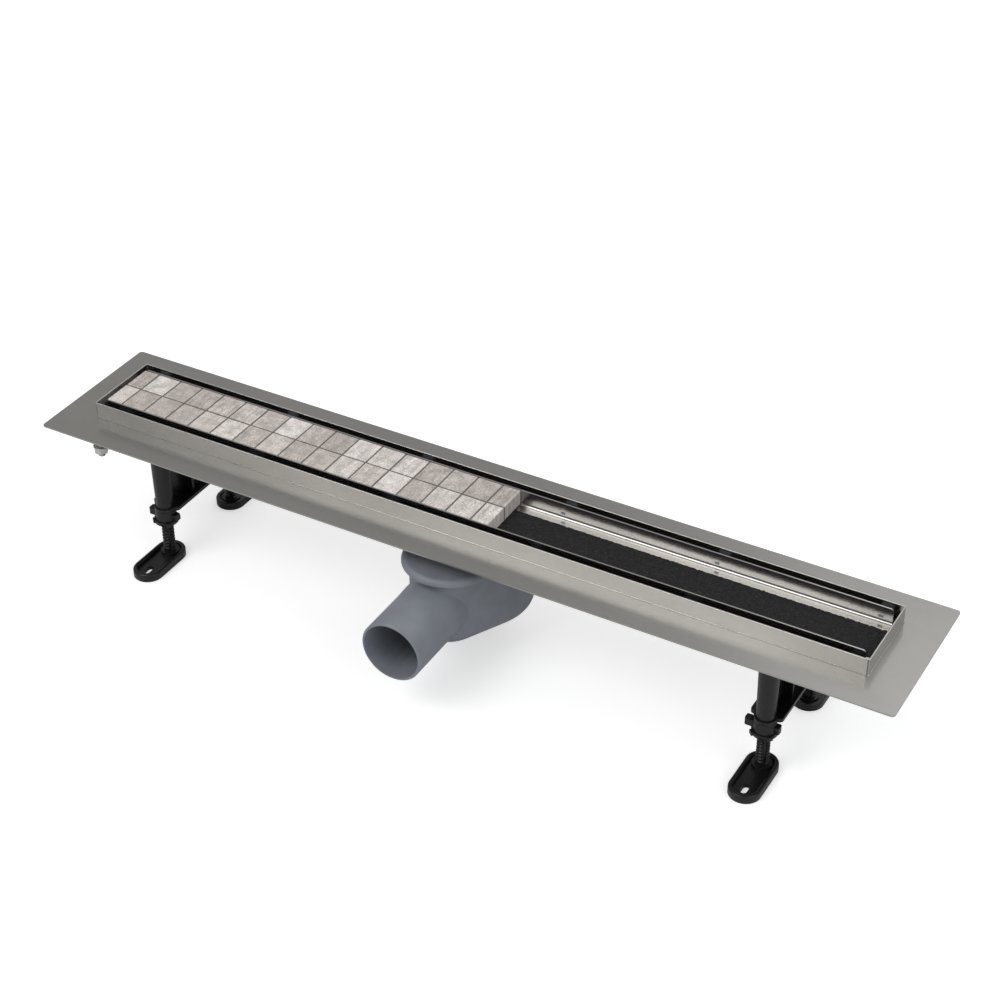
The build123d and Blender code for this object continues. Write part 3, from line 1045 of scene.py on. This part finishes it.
@dataclass
class Stud:
    """A welded metric stud with its rolled thread."""

    name: str
    node: str
    places: list[tuple[float, float]]
    low: float
    top: float
    head_radius: float
    head: float = 0.8 * MM
    radius: float = 3 * MM
    tip: float = 0.5 * MM
    plain: float = 1.2 * MM
    shoulder: float = 0.02 * MM
    facets: int = 24
    thread: Thread = Thread(depth=0.5 * MM, pitch=1 * MM, crest_share=0.18,
                            flank_share=0.32, steps=6)

    def reach(self, angle: float, level: float) -> float:
        """The stud's radius at a point.

        Args:
            angle: The angle round the stud, in radians.
            level: The level along it, in metres.

        Returns:
            The radius, in metres.
        """
        if level > self.top - self.head - LEVEL_ERROR:
            return self.head_radius
        thread_top = self.top - self.head - self.plain
        radius = self.radius - (self.thread.cut(angle, level) if level < thread_top else 0.0)
        return min(radius, self.radius - self.tip + (level - self.low))

    def build(self, material: bpy.types.Material) -> bpy.types.Object:
        """Makes the stud at each of its places.

        Args:
            material: Its finish.

        Returns:
            The studs as one piece.
        """
        form = bmesh.new()
        neck = self.top - self.head
        angles = [2 * math.pi * i / self.facets for i in range(self.facets)]
        levels = self.thread.levels(self.low, neck - self.shoulder) + [neck, self.top]
        for x, y in self.places:
            lathe_grid(form, angles, levels, self.reach, x, y)
        piece = new_piece(self.name, mesh_from(self.name, form), material)
        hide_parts(self.node)
        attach(piece, "drain")
        return piece


@dataclass
class Fasteners:
    """The bonding point and the bolts that hold the brackets."""

    edge: float = 0.3 * MM
    bonding: Stud = field(default_factory=lambda: Stud(
        "threaded_bonding_stud", "bonding_stud", places=[(-315 * MM, -51 * MM)],
        low=FLANGE_TOP - 21.5 * MM, top=FLANGE_TOP - SHEET, head_radius=4.2 * MM))
    bracket: Stud = field(default_factory=lambda: Stud(
        "threaded_bracket_studs", "bracket_studs",
        places=[(x, y) for x in (-LEG_X, LEG_X) for y in (-26 * MM, 26 * MM)],
        low=STUD_ROOT - 12 * MM, top=STUD_ROOT, head_radius=4 * MM))

    def dress(self, frame: dict, material: bpy.types.Material) -> None:
        """Gives the nuts and the washer their finish.

        Args:
            material: The finish.
        """
        nuts = ["bonding_nut", "bonding_washer", "bracket_nuts"]
        dress(frame, nuts, material)
        soften(frame, nuts, self.edge)

    def build(self, material: bpy.types.Material) -> list[bpy.types.Object]:
        """Makes the studs."""
        return [self.bonding.build(material), self.bracket.build(material)]


@dataclass
class Trap:
    """The odour trap with its clamp ring, seals and insert."""

    edge: float = 0.4 * MM

    def dress(self, frame: dict, palette: Palette) -> None:
        """Gives the trap's pieces their finishes.

        Args:
            palette: The finishes.
        """
        dress(frame, ["trap_body", "odour_insert"], palette.trap.material())
        dress(frame, ["trap_seal", "insert_seal"], palette.rubber.material())
        dress(frame, ["clamp_ring"], palette.fastener.material())
        soften(frame, ["trap_body"], self.edge)


# Studio


@dataclass(frozen=True)
class PhotoCamera:
    """The camera at the photograph's place and angles, in metres and degrees.

    It starts out looking straight down with its top towards +Y. Then it is rolled, tilted up and
    turned to its heading.
    """

    place: Point = (0.678555, -1.143784, 1.061084)
    heading: float = 29.8127
    tilt: float = 54.6799
    roll: float = -0.3463
    lens: float = 78.12
    sensor: float = 36.0
    reach: float = 50.0

    def build(self) -> bpy.types.Object:
        """Places the camera and makes it the scene's own.

        Returns:
            The camera.
        """
        view = bpy.data.cameras.new("camera")
        view.lens = self.lens
        view.sensor_width = self.sensor
        view.clip_end = self.reach
        camera = bpy.data.objects.new("camera", view)
        bpy.context.scene.collection.objects.link(camera)
        camera.matrix_world = (Matrix.Translation(self.place)
                               @ Matrix.Rotation(math.radians(self.heading), 4, "Z")
                               @ Matrix.Rotation(math.radians(self.tilt), 4, "X")
                               @ Matrix.Rotation(math.radians(self.roll), 4, "Z"))
        bpy.context.scene.camera = camera
        return camera


@dataclass(frozen=True)
class SoftBox:
    """A large soft lamp that faces a point."""

    name: str
    place: Point
    target: Point
    width: float
    height: float
    power: float
    tint: Colour = WHITE

    def build(self) -> bpy.types.Object:
        """Hangs the lamp.

        Returns:
            The lamp.
        """
        lamp = bpy.data.lights.new(self.name, "AREA")
        lamp.shape = "RECTANGLE"
        lamp.size = self.width
        lamp.size_y = self.height
        lamp.energy = self.power
        lamp.color = self.tint
        piece = bpy.data.objects.new(self.name, lamp)
        bpy.context.scene.collection.objects.link(piece)
        piece.location = self.place
        aim = Vector(self.target) - Vector(self.place)
        piece.rotation_euler = aim.to_track_quat("-Z", "Y").to_euler()
        return piece


@dataclass(frozen=True)
class Studio:
    """The pale floor, the even sky and the lamps."""

    floor_size: float = 8.0
    floor_level: float = -0.3 * MM
    floor_colour: Colour = (0.8, 0.8, 0.8)
    floor_lift: float = 0.5
    sky: float = 0.54
    mirrored_sky: float = 0.48
    shown_sky: float = 1.0
    lamps: tuple[SoftBox, ...] = (
        SoftBox("key", place=(-0.9, -1.6, 2.2), target=(0.0, 0.0, 0.1),
                width=1.6, height=1.2, power=24.0),
        SoftBox("fill", place=(1.9, -0.4, 1.3), target=(0.1, 0.0, 0.1),
                width=1.4, height=1.4, power=10.0, tint=(0.92, 0.96, 1.0)),
        SoftBox("top", place=(0.6, 1.5, 1.9), target=(0.1, 0.0, 0.1),
                width=2.2, height=0.9, power=6.0),
    )

    def build_floor(self) -> bpy.types.Object:
        """Lays a plain pale floor that looks white to the camera and keeps the shadow.

        Returns:
            The floor.
        """
        form = bmesh.new()
        half = self.floor_size / 2
        outline = ((-half, -half), (half, -half), (half, half), (-half, half))
        form.faces.new([form.verts.new((x, y, self.floor_level)) for x, y in outline])
        paper = Shading("floor_paper")
        paper.set(Roughness=0.95, Specular_IOR_Level=0.0)
        paper.surface.inputs["Base Color"].default_value = (*self.floor_colour, 1.0)
        paper.surface.inputs["Emission Color"].default_value = (*WHITE, 1.0)
        rays = paper.node("ShaderNodeLightPath")
        lift = paper.node("ShaderNodeMath")
        lift.operation = "MULTIPLY"
        lift.inputs[1].default_value = self.floor_lift
        paper.link(rays.outputs["Is Camera Ray"], lift.inputs[0])
        paper.link(lift.outputs["Value"], paper.surface.inputs["Emission Strength"])
        floor = new_piece("floor", mesh_from("floor", form), paper.material)
        return floor

    def build_sky(self) -> None:
        """Lights from all round, shows white to the camera and grey in the metal."""
        world = bpy.data.worlds.new("sky")
        bpy.context.scene.world = world
        world.use_nodes = True
        tree = world.node_tree
        light = tree.nodes["Background"]
        rays = tree.nodes.new("ShaderNodeLightPath")
        level: bpy.types.NodeSocket | None = None
        for ray, strength in (("Is Glossy Ray", self.mirrored_sky),
                              ("Is Camera Ray", self.shown_sky),
                              ("Is Transmission Ray", self.shown_sky)):
            step = tree.nodes.new("ShaderNodeMapRange")
            step.inputs["To Min"].default_value = self.sky
            step.inputs["To Max"].default_value = strength
            tree.links.new(rays.outputs[ray], step.inputs["Value"])
            if level is not None:
                tree.links.new(level, step.inputs["To Min"])
            level = step.outputs["Result"]
        tree.links.new(level, light.inputs["Strength"])
        light.inputs["Color"].default_value = (*WHITE, 1.0)

    def build(self) -> list[bpy.types.Object]:
        """Sets up the floor, the sky and the lamps.

        Returns:
            The floor and the lamps.
        """
        pieces = [self.build_floor()] + [lamp.build() for lamp in self.lamps]
        self.build_sky()
        bpy.context.scene.view_settings.view_transform = "Standard"
        return pieces


def report(pieces: Iterable[bpy.types.Object]) -> None:
    """Logs each piece that was built."""
    for piece in pieces:
        LOG.info("%s built", piece.name)


def main() -> None:
    """Loads the frame, dresses every piece and sets the studio."""
    logging.basicConfig(level=logging.INFO, format="%(name)s: %(message)s")
    for cleared in list(bpy.data.objects):
        bpy.data.objects.remove(cleared)
    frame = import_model()
    palette = Palette()

    report([PhotoCamera().build()] + Studio().build())

    channel = Channel()
    channel.dress(frame, palette)
    report([channel.build(palette.cover.material())])

    cover = Cover()
    cover.dress(frame, palette)
    report(cover.build(palette))

    black = palette.leg.material()
    legs = Legs()
    legs.dress(frame, black)
    report(legs.build(black))

    bright = palette.fastener.material()
    fasteners = Fasteners()
    fasteners.dress(frame, bright)
    report(fasteners.build(bright))

    Trap().dress(frame, palette)


if __name__ == "__main__":
    main()
